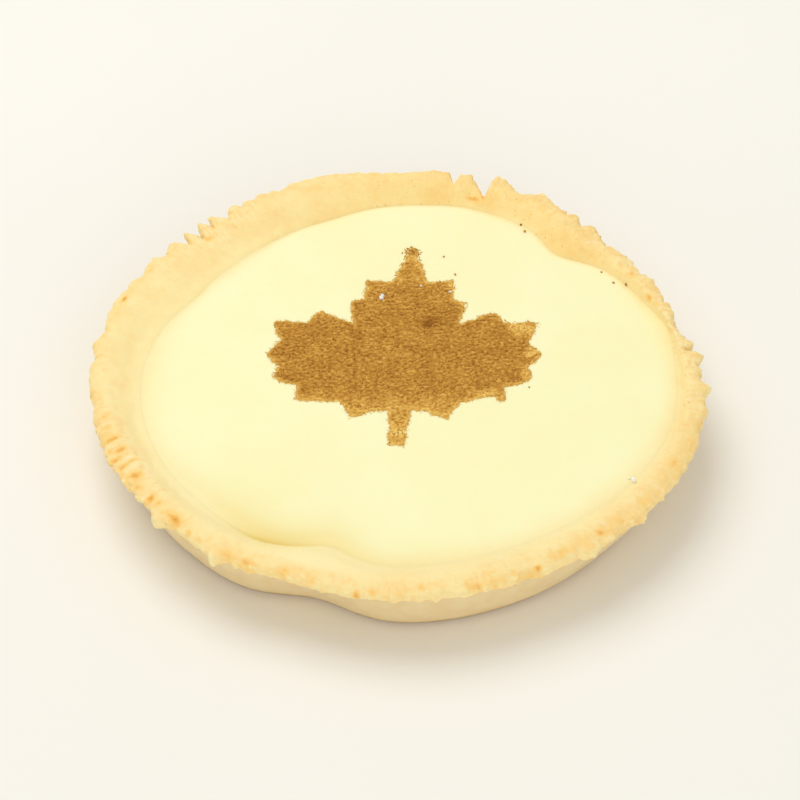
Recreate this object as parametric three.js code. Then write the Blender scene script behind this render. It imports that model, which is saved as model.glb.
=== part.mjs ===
// Milk tartlet: a shallow shortcrust case, pressed into its tin by hand and trimmed to a rough rim,
// filled with set milk custard and dusted with ground cinnamon through a leaf stencil.
// Millimetres, +Z up, with the origin in the middle of the flat base.
// Angles are in degrees about +Z: 0 is +X and 90 is +Y.
import * as THREE from "three";

// Pastry case
const RIM_RADIUS = 49.2;
const BASE_RADIUS = 44;
const RIM_HEIGHT = 13;
const FLOOR_THICKNESS = 3;
const WALL_THICKNESS = 4;
const BASE_ROUNDING = 1.2;
const HOLLOW_ROUNDING = 1.6;
const CREST_INSET = 2.4;
const LIP_OVERHANG = 1.1;
const LIP_FACE = 1.8;
const LIP_ROUNDING = 0.4;
const LIP_BELOW_CREST = 0.6;

// Milk custard
const CUSTARD_RADIUS = 42.3;
const CUSTARD_LEVEL = 11.4;
const CUSTARD_EDGE_DROP = 0.5;
const CUSTARD_SHOULDER = 5;
const CUSTARD_LEAST_FLARE = 2;

// Ground cinnamon
const LEAF_THICKNESS = 0.6;
const LEAF_FOOT = { x: 0.5, y: -16 };
const LEAF_LEAN = 3.3;
const LEAF_SKEW = 0.05;
const LEAF_HEART = { across: 0, along: 18 };
const LEAF_TIP_WIDTH = 0.9;
const POWDER_STEP = 1.2;
const POWDER_RAGGEDNESS = 0.22;

// Where each face of the case bends: shares of its way outwards and of its way up.
const HOLLOW_BEND = { out: 0.6, up: 0.5 };
const SLOPE_BEND = { out: 0.45, up: 0.68 };
const CREST_BEND = { out: 0.6, up: 0.2 };
const WALL_BEND = { out: 0.55, up: 0.45 };

// Slow waves round the tart: the number of lobes, how far each reaches, and the angle of the first.
const LIP_WAVES = [
  { lobes: 1, reach: 0.67, angle: 55 },
  { lobes: 2, reach: 0.57, angle: -11 },
  { lobes: 3, reach: 0.58, angle: -31 },
  { lobes: 4, reach: 0.46, angle: -12 },
  { lobes: 5, reach: 0.19, angle: -9 },
];
const FOOT_WAVES = [{ lobes: 1, reach: 0.5, angle: -40 }];
const CREST_WAVES = [
  { lobes: 1, reach: 0.5, angle: 130 },
  { lobes: 3, reach: 0.25, angle: 95 },
  { lobes: 7, reach: 0.12, angle: 20 },
];
const CUSTARD_WAVES = [
  { lobes: 1, reach: 2.7, angle: -6 },
  { lobes: 2, reach: 1.3, angle: 24 },
  { lobes: 3, reach: 0.5, angle: -28 },
  { lobes: 4, reach: 0.6, angle: -5 },
];

// Folds, where the pastry doubled over as it was pressed in, lie over the custard's edge.
const FOLDS = [
  { angle: 47, spread: 8, reach: 3.3, rise: 0.9 },
  { angle: 255, spread: 8, reach: 3.2, rise: 0.5 },
];
const FOLD_SHARE_AT_CREST = 0.5;

// The outer wall is pushed in under the front fold.
const DENT = { angle: 253, spread: 11.5, depth: 3.2, shareAtRim: 0.2, shareAtWallTop: 0.4 };

// Cracks and bites run in from the lip, and flakes of broken pastry stand out of it.
const CRACKS = [
  { angle: 13, spread: 3.5, depth: 0.8, drop: 0 },
  { angle: 40, spread: 3, depth: 0.8, drop: 0 },
  { angle: 72, spread: 1.7, depth: 3, drop: 1.3 },
  { angle: 78.4, spread: 1.4, depth: 1.1, drop: 0.5 },
  { angle: 127, spread: 1.8, depth: 1.2, drop: 0.3 },
  { angle: 131.3, spread: 1.6, depth: 1, drop: 0.2 },
  { angle: 138, spread: 1.8, depth: 1.2, drop: 0.3 },
  { angle: 247, spread: 6, depth: 0.9, drop: 0 },
  { angle: 295, spread: 2, depth: 0.6, drop: 0 },
];
const CRACK_SHARE_AT_CREST = 0.3;
const FLAKES = [
  { angle: 5, spread: 2.4, reach: 1, sag: 0.2 },
  { angle: 27.5, spread: 5, reach: 0.5, sag: 0 },
  { angle: 58.5, spread: 3, reach: 1.1, sag: 0 },
  { angle: 69, spread: 2.4, reach: 1.3, sag: 0 },
  { angle: 75.3, spread: 1.8, reach: 0.6, sag: 0 },
  { angle: 105, spread: 5, reach: 0.5, sag: 0 },
  { angle: 160, spread: 5, reach: 0.5, sag: 0 },
  { angle: 208, spread: 4, reach: 0.5, sag: 0.2 },
  { angle: 221, spread: 2.2, reach: 1, sag: 0.8 },
  { angle: 235, spread: 3, reach: 1.1, sag: 0.5 },
  { angle: 309.5, spread: 2.2, reach: 1, sag: 0.7 },
  { angle: 321.5, spread: 2, reach: 0.5, sag: 0.4 },
  { angle: 357, spread: 2.4, reach: 1.3, sag: 0.3 },
];
const SMALL_FLAKES = 84;
const SMALL_FLAKE_SPREAD = { least: 1.4, most: 2.4 };
const SMALL_FLAKE_REACH = { least: -0.4, most: 0.4 };
const SMALL_FLAKE_SAG = { least: 0, most: 0.3 };

// One half of the stencilled leaf, from its tip down to the stalk. Each tooth has its place across
// and along the leaf, and the valley after it sinks by a share of the way to the leaf's heart.
const LEAF_TEETH = [
  { across: 0, along: 47, valley: 0.17 },
  { across: 7.3, along: 38.6, valley: 0.1 },
  { across: 9.3, along: 33.6, valley: 0.27 },
  { across: 14.8, along: 31, valley: 0.1 },
  { across: 22, along: 28.4, valley: 0.07 },
  { across: 22.4, along: 20.8, valley: 0.05 },
  { across: 20.9, along: 15.4, valley: 0.1 },
  { across: 16.7, along: 10.2, valley: 0.17 },
  { across: 7.3, along: 6.2, valley: 0.06 },
];
const STALK = { root: { across: 1.9, along: 8 }, foot: { across: 1.3, along: 0 } };

const STEPS = 288; // sections in one turn of the tart
const SEED = 7;

const { degToRad, euclideanModulo, lerp } = THREE.MathUtils;

// Random numbers from 0 to 1, the same in every run.
function randomFrom(seed) {
  const multiplier = 16807;
  const modulus = 2147483647;
  let state = seed;
  return () => {
    state = (state * multiplier) % modulus;
    return state / modulus;
  };
}

const between = ({ least, most }, share) => lerp(least, most, share);

// Angle from one direction to another, from -180 to 180.
const angleTo = (angle, centre) => euclideanModulo(angle - centre + 180, 360) - 180;

// A round hump and a pointed tab, both 1 at their own angle.
const hump = (angle, { angle: centre, spread }) => Math.exp(-((angleTo(angle, centre) / spread) ** 2));
const tab = (angle, { angle: centre, spread }) =>
  Math.max(0, 1 - Math.abs(angleTo(angle, centre)) / spread);

const total = (list, term) => list.reduce((sum, item) => sum + term(item), 0);
const waving = (waves, angle) =>
  total(waves, ({ lobes, reach, angle: first }) => reach * Math.cos(degToRad(lobes * (angle - first))));

// Small flakes fill the lip between the large ones.
function smallFlakes() {
  const random = randomFrom(SEED);
  return Array.from({ length: SMALL_FLAKES }, (_, index) => ({
    angle: ((index + random()) * 360) / SMALL_FLAKES,
    spread: between(SMALL_FLAKE_SPREAD, random()),
    reach: between(SMALL_FLAKE_REACH, random()),
    sag: between(SMALL_FLAKE_SAG, random()),
  }));
}

const ALL_FLAKES = [...FLAKES, ...smallFlakes()];

// Sizes of the tart at one angle
const dentAt = (angle) => DENT.depth * hump(angle, DENT);
const crackAt = (angle) => total(CRACKS, (crack) => crack.depth * tab(angle, crack));
const foldRise = (angle) => total(FOLDS, (fold) => fold.rise * hump(angle, fold));
const rimRadius = (angle) => RIM_RADIUS + waving(LIP_WAVES, angle) - DENT.shareAtRim * dentAt(angle);
const lipRadius = (angle) =>
  rimRadius(angle) - crackAt(angle) + total(ALL_FLAKES, (flake) => flake.reach * tab(angle, flake));
const lipSag = (angle) => total(ALL_FLAKES, (flake) => flake.sag * tab(angle, flake));
const crestRadius = (angle) => rimRadius(angle) - CREST_INSET - CRACK_SHARE_AT_CREST * crackAt(angle);
const crestHeight = (angle) =>
  RIM_HEIGHT +
  waving(CREST_WAVES, angle) +
  FOLD_SHARE_AT_CREST * foldRise(angle) -
  total(CRACKS, (crack) => crack.drop * tab(angle, crack));
const wallTopRadius = (angle) =>
  Math.min(lipRadius(angle), rimRadius(angle)) - LIP_OVERHANG - DENT.shareAtWallTop * dentAt(angle);
const footRadius = (angle) => BASE_RADIUS + waving(FOOT_WAVES, angle) - dentAt(angle);
const custardRadius = (angle) =>
  CUSTARD_RADIUS +
  waving(CUSTARD_WAVES, angle) -
  total(FOLDS, (fold) => fold.reach * hump(angle, fold));
const custardEdgeLevel = CUSTARD_LEVEL - CUSTARD_EDGE_DROP;

// A point between two others, given as radius and height, where the face between them bends.
const bend = ([radius, height], [farRadius, farHeight], { out, up }) => [
  lerp(radius, farRadius, out),
  lerp(height, farHeight, up),
];

// The hollow of the case, from the middle of its floor out and up to the custard's edge. The custard
// has the same face, so the two meet all over.
function hollowSection(angle) {
  const edge = [custardRadius(angle), custardEdgeLevel];
  const corner = Math.min(footRadius(angle) - WALL_THICKNESS, edge[0] - CUSTARD_LEAST_FLARE);
  const wallFoot = [corner, FLOOR_THICKNESS + 0.5 * HOLLOW_ROUNDING];
  return [
    [0, FLOOR_THICKNESS],
    [corner - HOLLOW_ROUNDING, FLOOR_THICKNESS],
    wallFoot,
    bend(wallFoot, edge, HOLLOW_BEND),
    edge,
  ];
}

// The outside of the case, from the slope inside the rim over the crest and the lip, down the wall
// and in to the middle of the base.
function shellSection(angle) {
  const lip = lipRadius(angle);
  const edge = [custardRadius(angle), custardEdgeLevel];
  const crest = [crestRadius(angle), crestHeight(angle)];
  const lipTop = [lip - LIP_ROUNDING, crest[1] - LIP_BELOW_CREST];
  const lipBottom = [lip - LIP_ROUNDING, lipTop[1] - LIP_FACE - lipSag(angle)];
  const wallTop = [wallTopRadius(angle), lipBottom[1] - LIP_ROUNDING];
  const wallFoot = [footRadius(angle), BASE_ROUNDING];
  const [slopeRadius, slopeHeight] = bend(edge, crest, SLOPE_BEND);
  return [
    [slopeRadius, slopeHeight + foldRise(angle)],
    crest,
    bend(crest, lipTop, CREST_BEND),
    lipTop,
    [lip, lipBottom[1] + 0.5 * LIP_FACE],
    lipBottom,
    wallTop,
    bend(wallFoot, wallTop, WALL_BEND),
    wallFoot,
    [wallFoot[0] - BASE_ROUNDING, 0],
    [0, 0],
  ];
}

const caseSection = (angle) => [...hollowSection(angle), ...shellSection(angle)];
const custardSection = (angle) => [
  ...hollowSection(angle),
  [custardRadius(angle) - CUSTARD_SHOULDER, CUSTARD_LEVEL],
  [0, CUSTARD_LEVEL],
];

// A lathe turns the section at angle 0, and each step's points then move to that step's own section.
function turned(sectionAt) {
  const profile = sectionAt(0).map(([radius, height]) => new THREE.Vector2(radius, height));
  const geometry = new THREE.LatheGeometry(profile, STEPS);
  const place = geometry.getAttribute("position");
  for (let step = 0; step <= STEPS; step++) {
    const angle = ((step % STEPS) * 360) / STEPS;
    const [x, y] = [Math.cos(degToRad(angle)), Math.sin(degToRad(angle))];
    sectionAt(angle).forEach(([radius, height], index) =>
      place.setXYZ(step * profile.length + index, radius * x, radius * y, height),
    );
  }
  return geometry;
}

// The case's section runs the other way round from the custard's, so its faces are turned over.
function turnedOver(geometry) {
  geometry.setIndex(Array.from(geometry.index.array).reverse());
  return geometry;
}

// Corners of the right half of the leaf: each tooth's blunt end and the valley after it, then the stalk.
function leafCorners() {
  const point = ({ across, along }) => new THREE.Vector2(across, along);
  const heart = point(LEAF_HEART);
  const corners = [];
  LEAF_TEETH.forEach((tooth, index) => {
    const tip = point(tooth);
    const next = point(LEAF_TEETH[index + 1] ?? STALK.root);
    const middle = tip.clone().lerp(next, 0.5);
    const halfTip = next.clone().sub(tip).setLength(0.5 * LEAF_TIP_WIDTH);
    const tipCorners = tooth.across > 0 ? [tip.clone().sub(halfTip), tip.clone().add(halfTip)] : [tip];
    corners.push(...tipCorners, middle.lerp(heart, tooth.valley));
  });
  return [...corners, point(STALK.root), point(STALK.foot)];
}

// The whole outline: both halves, with points along each edge shifted where the powder spilled.
function leafOutline() {
  const random = randomFrom(SEED);
  const half = leafCorners();
  const mirrored = half.slice(1).map((corner) => new THREE.Vector2(-corner.x, corner.y));
  const corners = [...half, ...mirrored.reverse()];
  corners.forEach((corner) => corner.setY(corner.y + LEAF_SKEW * corner.x));
  return corners.flatMap((corner, index) => {
    const next = corners[(index + 1) % corners.length];
    const pieces = Math.max(1, Math.round(corner.distanceTo(next) / POWDER_STEP));
    const edge = next.clone().sub(corner).normalize();
    const aside = new THREE.Vector2(-edge.y, edge.x);
    return Array.from({ length: pieces }, (_, piece) => {
      const shift = piece === 0 ? 0 : POWDER_RAGGEDNESS * (2 * random() - 1);
      return corner.clone().lerp(next, piece / pieces).addScaledVector(aside, shift);
    });
  });
}

function leafPlate() {
  return new THREE.ExtrudeGeometry(new THREE.Shape(leafOutline()), {
    depth: LEAF_THICKNESS,
    bevelEnabled: false,
  });
}

function namedPiece(name, geometry, color, roughness) {
  const mesh = new THREE.Mesh(
    geometry,
    new THREE.MeshStandardMaterial({ color, roughness, metalness: 0 }),
  );
  mesh.name = name;
  return mesh;
}

const pastryCase = namedPiece("pastry_case", turnedOver(turned(caseSection)), 0xf6d9a0, 0.8);
const milkCustard = namedPiece("milk_custard", turned(custardSection), 0xfbf3bd, 0.4);
const cinnamonLeaf = namedPiece("cinnamon_leaf", leafPlate(), 0xb07a35, 0.95);
cinnamonLeaf.position.set(LEAF_FOOT.x, LEAF_FOOT.y, CUSTARD_LEVEL);
cinnamonLeaf.rotation.z = degToRad(-LEAF_LEAN);

const tartlet = new THREE.Group();
tartlet.add(pastryCase, milkCustard, cinnamonLeaf);

// The uneven rim is centred over the origin.
const middle = new THREE.Box3().setFromObject(tartlet).getCenter(new THREE.Vector3());
tartlet.position.set(-middle.x, -middle.y, 0);

export default tartlet;
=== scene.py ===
# %% [markdown]
# # A milk tartlet
# A real milk tartlet is three things: a hand-pressed shortcrust case, a pool of set custard, and a
# dusting of cinnamon. The solids give their true sizes and places. This lesson rebuilds each one as a
# fine mesh at the same place, with the crumb, toasting and powder that only a surface can show.
# Loading the frame first fixes the sizes, so nothing has to be fitted afterwards.

import bmesh
import bpy
import numpy as np
from mathutils import Matrix, Vector, noise
from mathutils.bvhtree import BVHTree


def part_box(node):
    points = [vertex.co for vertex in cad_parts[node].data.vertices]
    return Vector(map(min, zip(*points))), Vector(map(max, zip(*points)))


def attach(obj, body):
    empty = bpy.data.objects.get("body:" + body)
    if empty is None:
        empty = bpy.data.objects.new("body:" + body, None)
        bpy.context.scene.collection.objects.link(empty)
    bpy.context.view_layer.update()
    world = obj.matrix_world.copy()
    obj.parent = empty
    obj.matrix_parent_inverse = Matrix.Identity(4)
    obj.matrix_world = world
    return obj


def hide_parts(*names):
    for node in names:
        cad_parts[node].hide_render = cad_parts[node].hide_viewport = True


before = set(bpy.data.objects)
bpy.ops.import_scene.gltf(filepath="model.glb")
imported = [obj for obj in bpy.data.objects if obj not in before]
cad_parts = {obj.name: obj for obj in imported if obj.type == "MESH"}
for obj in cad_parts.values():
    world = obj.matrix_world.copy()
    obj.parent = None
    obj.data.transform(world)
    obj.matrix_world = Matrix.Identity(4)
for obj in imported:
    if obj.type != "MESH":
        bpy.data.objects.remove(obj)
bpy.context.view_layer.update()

MM = 0.001

# %% [markdown]
# ## Measuring round the tart
# Nothing on a hand-made case is quite round. A designer would draw the rim as a circle and then push it
# in and out. Here slow waves, round humps and pointed tabs do that pushing, each a function of the angle
# round the tart, in degrees from +X. NumPy works them out for every angle at once.

# %% Shapes that depend on the angle
def turn(angle, centre):
    """The angle from a centre, between -180 and 180."""
    return (angle - centre + 180) % 360 - 180


def hump(angle, centre, spread):
    """A round hump: 1 at its centre, falling away smoothly on both sides."""
    return np.exp(-((turn(angle, centre) / spread) ** 2))


def humps(angle, places):
    """The sum of humps given as angle, spread and height."""
    return sum(height * hump(angle, at, spread) for at, spread, height in places)


def tab(angle, tip, before, after):
    """A pointed tab, with its own spread on each side of the tip."""
    offset = turn(angle, tip)
    return np.clip(1 - np.where(offset < 0, -offset / before, offset / after), 0, None)


def waving(angle, waves):
    """The sum of waves given as lobes, reach and the angle of the first lobe."""
    return sum(reach * np.cos(np.radians(lobes * (angle - first))) for lobes, reach, first in waves)


def ease(value, low, high):
    """0 below low, 1 above high and a smooth step between."""
    share = np.clip((value - low) / (high - low), 0, 1)
    return share * share * (3 - 2 * share)


print("a hump 8 degrees wide, 8 degrees away:", round(float(hump(8, 0, 8)), 2))

# %% [markdown]
# ## The sizes of the case
# These are the solid's own driving sizes, in millimetres: waves as lobes, reach and first angle. Tears
# are given as angle, spread before and after, depth and how far the crest drops, and flakes as angle,
# spreads, reach and sag. The fine mesh has more of both than the solid, because a trimmed shortcrust edge
# breaks at every crumb, and most breaks are steep on one side.

# %% Sizes of the rim, the custard's edge and the base
RIM_RADIUS, RIM_HEIGHT, BASE_RADIUS = 49.2, 13.0, 44.0
FLOOR_THICKNESS, WALL_THICKNESS = 3.0, 4.0
BASE_ROUNDING, HOLLOW_ROUNDING = 1.2, 1.6
CREST_INSET, LIP_OVERHANG, LIP_FACE, LIP_ROUNDING, LIP_BELOW_CREST = 2.4, 1.1, 1.8, 0.4, 0.6
CUSTARD_RADIUS, CUSTARD_LEVEL, CUSTARD_EDGE_DROP, CUSTARD_LEAST_FLARE = 42.3, 11.4, 0.5, 2.0

LIP_WAVES = [(1, 0.67, 55), (2, 0.57, -11), (3, 0.58, -31), (4, 0.46, -12), (5, 0.19, -9)]
FOOT_WAVES = [(1, 0.5, -40)]
CREST_WAVES = [(1, 0.5, 130), (3, 0.25, 95), (7, 0.12, 20)]
CUSTARD_WAVES = [(1, 2.7, -6), (2, 1.3, 24), (3, 0.5, -28), (4, 0.6, -5)]
FOLD_REACHES = [(47, 8, 3.3), (255, 8, 3.2)]
FOLD_RISES = [(47, 8, 0.9), (255, 8, 0.5)]
DENT = [(253, 11.5, 3.2)]
TEARS = [
    (346, 2, 1.5, 0.5, 0), (359, 1.2, 1.4, 0.5, 0), (2.6, 0.9, 0.9, 0.7, 0), (6.1, 0.8, 1.6, 1.4, 0),
    (12.8, 4.5, 6, 1.6, 0), (20.2, 0.8, 2.2, 0.75, 0), (30.6, 0.5, 1.6, 0.5, 0), (38.5, 2.5, 1.2, 0.4, 0),
    (40.3, 1.6, 4.4, 1.2, 0), (47.5, 0.9, 2.2, 1.2, 0), (52.2, 1.1, 2.5, 0.4, 0), (63.4, 2.4, 2.4, 0.8, 0.1),
    (70.1, 0.5, 4.2, 3.7, 1.3), (77.2, 0.9, 1.6, 2.5, 0.5), (88.5, 7, 10, 1.1, 0),
    (114.5, 3, 4, 0.4, 0), (120.7, 2, 1, 0.7, 0), (123, 0.6, 1.3, 1.2, 0.1), (127.5, 1.8, 2.6, 2.4, 0.3),
    (131.9, 1.2, 1, 2.4, 0.3), (135.4, 2.0, 1.4, 3.3, 0.5), (138.7, 1.8, 1.6, 2.5, 0.3),
    (144.3, 2.6, 1.6, 1.3, 0.1), (151.1, 2.2, 2.6, 0.9, 0), (156.2, 0.8, 1.4, 0.4, 0), (168.6, 3, 3, 0.6, 0),
    (176.5, 1.8, 1.5, 0.7, 0), (189, 6, 6, 0.4, 0), (247, 6, 6, 0.5, 0), (295, 2, 2, 0.4, 0),
]
FLAKES = [
    (343, 2.5, 2, 0.3, 0.2), (350, 3, 3.5, 0.35, 0.2), (356.6, 1.8, 1, 1.1, 0.3), (4.9, 1.4, 0.9, 0.9, 0.2),
    (27.5, 3.5, 2.6, 0.45, 0), (45.6, 1.6, 1, 0.4, 0), (50.5, 1.2, 1.2, 0.6, 0), (59.1, 3.8, 3, 1.5, 0),
    (69.4, 4.5, 0.6, 1.6, 0), (105, 7, 8, 0.7, 0), (159, 3, 4, 0.3, 0), (173.5, 2, 1.5, 0.2, 0),
    (221, 2.2, 2.4, 1.2, 0.9), (235, 2.2, 2.6, 1.1, 0.8), (309.5, 2.4, 2, 1.1, 0.8),
    (321.5, 1.8, 1.6, 0.8, 0.6),
]
SMALL_FLAKES = 240
SMALL_SPREADS, SMALL_REACHES, SMALL_SAGS = (0.5, 1.3), (-0.25, 0.35), (0, 0.6)
SEED = 7
random = np.random.default_rng(SEED)
for number in range(SMALL_FLAKES):
    at = (number + random.random()) * 360 / SMALL_FLAKES
    before, after = random.uniform(*SMALL_SPREADS, 2)
    reach, sag = random.uniform(*SMALL_REACHES), random.uniform(*SMALL_SAGS)
    FLAKES.append((at, before, after, reach, sag))
print("tears and flakes along the lip:", len(TEARS) + len(FLAKES))

# %% Radii at an angle
ACROSS, DOWN = 3, 4
DENT_AT_RIM = 0.2
SPILLS = [
    (15, 6, 0.7), (0, 5, -0.2), (60, 4, -0.3), (75, 5, 0.3), (105, 6, -0.4), (137, 7, -0.3), (151, 8, -0.8),
]


def tabs(angle, places, column):
    """The sum of tears or flakes, each as large as its number in the given column."""
    return sum(place[column] * tab(angle, *place[:3]) for place in places)


def rim_radius(angle):
    return RIM_RADIUS + waving(angle, LIP_WAVES) - DENT_AT_RIM * humps(angle, DENT)


def lip_radius(angle):
    return rim_radius(angle) - tabs(angle, TEARS, ACROSS) + tabs(angle, FLAKES, ACROSS)


def custard_radius(angle):
    return CUSTARD_RADIUS + waving(angle, CUSTARD_WAVES) - humps(angle, FOLD_REACHES)


def custard_edge(angle):
    """The solid's radius with the small spills that only show close up."""
    return custard_radius(angle) + humps(angle, SPILLS)


print("radii at the back in mm: lip", lip_radius(90).round(1), "custard", custard_edge(90).round(1))

# %% Angles of the steps, closer together where the lip is torn
STEPS, ANGLE_SAMPLES = 900, 7201
CROWDED_PLACES = [(131, 11, 2.0), (72, 8, 2.0), (1, 8, 1.0), (206, 14, 0.6)]
all_angles = np.linspace(0, 360, ANGLE_SAMPLES)
crowding = np.cumsum(1 + humps(all_angles, CROWDED_PLACES))
crowding = (crowding - crowding[0]) / (crowding[-1] - crowding[0])
step_angles = np.interp(np.arange(STEPS) / STEPS, crowding, all_angles)
directions = np.stack([np.cos(np.radians(all_angles)), np.sin(np.radians(all_angles))], axis=1)
custard_outline = custard_radius(all_angles)[:, None] * directions
custard_low, custard_high = [np.array(corner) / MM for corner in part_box("milk_custard")]
AXIS = (custard_low + custard_high)[:2] / 2 - (custard_outline.min(axis=0) + custard_outline.max(axis=0)) / 2
print("the tart's axis stands at", AXIS.round(2), "mm from the origin")

# %% [markdown]
# ## The section of the case
# A pastry case is a section turned round an axis, so a spin is the natural tool. A plain spin would give
# a machine-made case. So the section is a row of named points at each angle, joined by a smooth curve, and
# after the spin every vertex moves to the section of its own angle. Where the custard thinned out over the
# pastry the two meet without a step, so there the pastry runs on below it as a shelf. The lip was pressed
# down and out at the front, and tore into thin teeth at the back. A tear ends a little below the lip, where
# the wall goes on untorn.

# %% The section's points at each angle
THINNED_EDGES = [
    (330, 40, 1.6), (270, 30, 1.5), (232, 22, 2.4), (183, 32, 1.5), (135, 12, 1.0), (62, 9, 0.5),
    (14, 11, 0.8),
]
LEAST_THINNING, SOFT_THINNING, SOFT_EDGE_RISE = 0.35, 2.0, 0.12
UNDER_FRONT_FOLD = (246, 11)
CREASE = [(242, 8, 0.25)]
THIN_LIPS = [(130, 14, 0.55), (71, 10, 0.5), (211, 8, 0.35)]
SHELF_INSET, SHELF_DROP = 1.4, 0.38
FRONT_FROM, FRONT_FULL = -0.15, 0.5
FRONT_INSET, FRONT_FACE_LOSS, FRONT_DROP, FRONT_UNDERSIDE = 0.6, 0.45, 0.35, 0.15
LEAST_LIP, TEAR_INTO_WALL, WALL_BELOW_LIP, DENT_AT_WALL_TOP = 1.3, 0.3, 0.3, 0.4
UNDERCUT_IN, UNDERCUT_DOWN = 0.35, 0.05


def thinning(angle):
    """How far in from its edge the custard lets the pastry show through, in millimetres."""
    return LEAST_THINNING + humps(angle, THINNED_EDGES)


def softness(angle):
    """How smoothly the pastry runs on below the custard, and not at all under the front fold."""
    return np.clip(thinning(angle) / SOFT_THINNING, 0, 1) * (1 - hump(angle, *UNDER_FRONT_FOLD))


def custard_edge_level(angle):
    soft = softness(angle)
    return CUSTARD_LEVEL - CUSTARD_EDGE_DROP * (1 - soft) + SOFT_EDGE_RISE * soft - humps(angle, CREASE)


def between(first, last, out, up):
    """The point at a share of the way out and a share of the way up from the first to the last."""
    return first[0] + out * (last[0] - first[0]), first[1] + up * (last[1] - first[1])


def case_section(angle):
    """Radius and height of each named point, from the middle of the floor over the rim to the base."""
    zero = np.zeros_like(angle)
    rim, lip, rise = rim_radius(angle), lip_radius(angle), humps(angle, FOLD_RISES)
    foot = BASE_RADIUS + waving(angle, FOOT_WAVES) - humps(angle, DENT)
    front = ease(-np.sin(np.radians(angle)), FRONT_FROM, FRONT_FULL)
    soft, crease = softness(angle), humps(angle, CREASE)
    edge = (custard_edge(angle), custard_edge_level(angle))
    corner = np.minimum(foot - WALL_THICKNESS, edge[0] - CUSTARD_LEAST_FLARE)
    hollow_foot = (corner, zero + FLOOR_THICKNESS + HOLLOW_ROUNDING / 2)
    steep = between(hollow_foot, edge, 0.9, 0.82)
    shelf = between(steep, (edge[0] - SHELF_INSET, edge[1] - SHELF_DROP), soft, soft)
    height = RIM_HEIGHT + waving(angle, CREST_WAVES) + 0.5 * rise - tabs(angle, TEARS, DOWN)
    crest = (np.minimum(rim - CREST_INSET - FRONT_INSET * front, lip - LEAST_LIP), height)
    low = between(edge, crest, 0.22 + 0.12 * soft, 0.4 - 0.27 * soft)
    high = between(edge, crest, 0.6 + 0.08 * soft, 0.84 - 0.2 * soft)
    face = (LIP_FACE - FRONT_FACE_LOSS * front) * (1 - humps(angle, THIN_LIPS))
    lip_top = (lip - LIP_ROUNDING, height - LIP_BELOW_CREST - FRONT_DROP * front)
    underside = lip_top[1] - face - tabs(angle, FLAKES, DOWN)
    lip_bottom = (lip - LIP_ROUNDING + FRONT_UNDERSIDE * front, underside)
    untorn_wall = (rim - LIP_OVERHANG - DENT_AT_WALL_TOP * humps(angle, DENT), underside - WALL_BELOW_LIP)
    wall_top = (np.minimum(untorn_wall[0], lip - TEAR_INTO_WALL), untorn_wall[1])
    wall_foot = (foot, zero + BASE_ROUNDING)
    return np.array([
        (zero, zero + FLOOR_THICKNESS),
        (corner - HOLLOW_ROUNDING, zero + FLOOR_THICKNESS),
        hollow_foot,
        shelf,
        edge,
        (low[0] - crease, low[1] + 0.5 * rise + 1.2 * crease),
        (high[0], high[1] + 0.8 * rise + 0.4 * crease),
        crest,
        between(crest, lip_top, 0.55, 0.3),
        lip_top,
        (lip, lip_top[1] - 0.45 * face),
        lip_bottom,
        (lip_bottom[0] - UNDERCUT_IN, underside - UNDERCUT_DOWN),
        wall_top,
        between(wall_foot, untorn_wall, 0.88, 0.82),
        between(wall_foot, untorn_wall, 0.55, 0.45),
        wall_foot,
        (foot - BASE_ROUNDING, zero),
        (zero, zero),
    ])


EDGE, CREST, LIP_TOP, LIP_BOTTOM, WALL_TOP, FOOT = 4, 7, 9, 11, 13, 16
sections = case_section(step_angles)
print("points in a section:", len(sections), "crest from", sections[CREST, 1].min().round(1),
      "to", sections[CREST, 1].max().round(1), "mm high")

# %% A smooth curve through a section's points
def curve_through(points, along):
    """Places on a curve through rows of points, where 2.5 is half way from point 2 to point 3."""
    last = len(points) - 1
    start = np.minimum(along.astype(int), last - 1)
    share = (along - start)[:, None]
    column = np.arange(len(along))
    before, first, second, after = (
        points[np.clip(start + shift, 0, last), :, column] for shift in (-1, 0, 1, 2)
    )
    length = np.linalg.norm(second - first, axis=1, keepdims=True)

    def heading(chord):
        return chord / np.maximum(np.linalg.norm(chord, axis=1, keepdims=True), 1e-9) * length

    square, cube = share**2, share**3
    return (
        (2 * cube - 3 * square + 1) * first
        + (cube - 2 * square + share) * heading(second - before)
        + (3 * square - 2 * cube) * second
        + (cube - square) * heading(after - first)
    )


past_crest = curve_through(sections[:, :, :1], np.array([CREST + 0.5]))
print("half way past the crest at 0 degrees:", past_crest.round(2))

# %% [markdown]
# ## Spinning a piece
# bmesh.ops.spin turns a row of vertices into a ring of quads. Each vertex first stores how far along the
# section it is, and the spin copies that number to all its twins. The step can be read back from where
# the twin landed, so both numbers are known and the vertex can go to its true place.

# %% Helpers that spin a section and make a piece
def section_rows(points_in_faces):
    """How far along the section each point lies, with more points where more shows."""
    rows = [face + step / count for face, count in enumerate(points_in_faces) for step in range(count)]
    return np.array(rows + [len(points_in_faces)], dtype=float)


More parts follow.
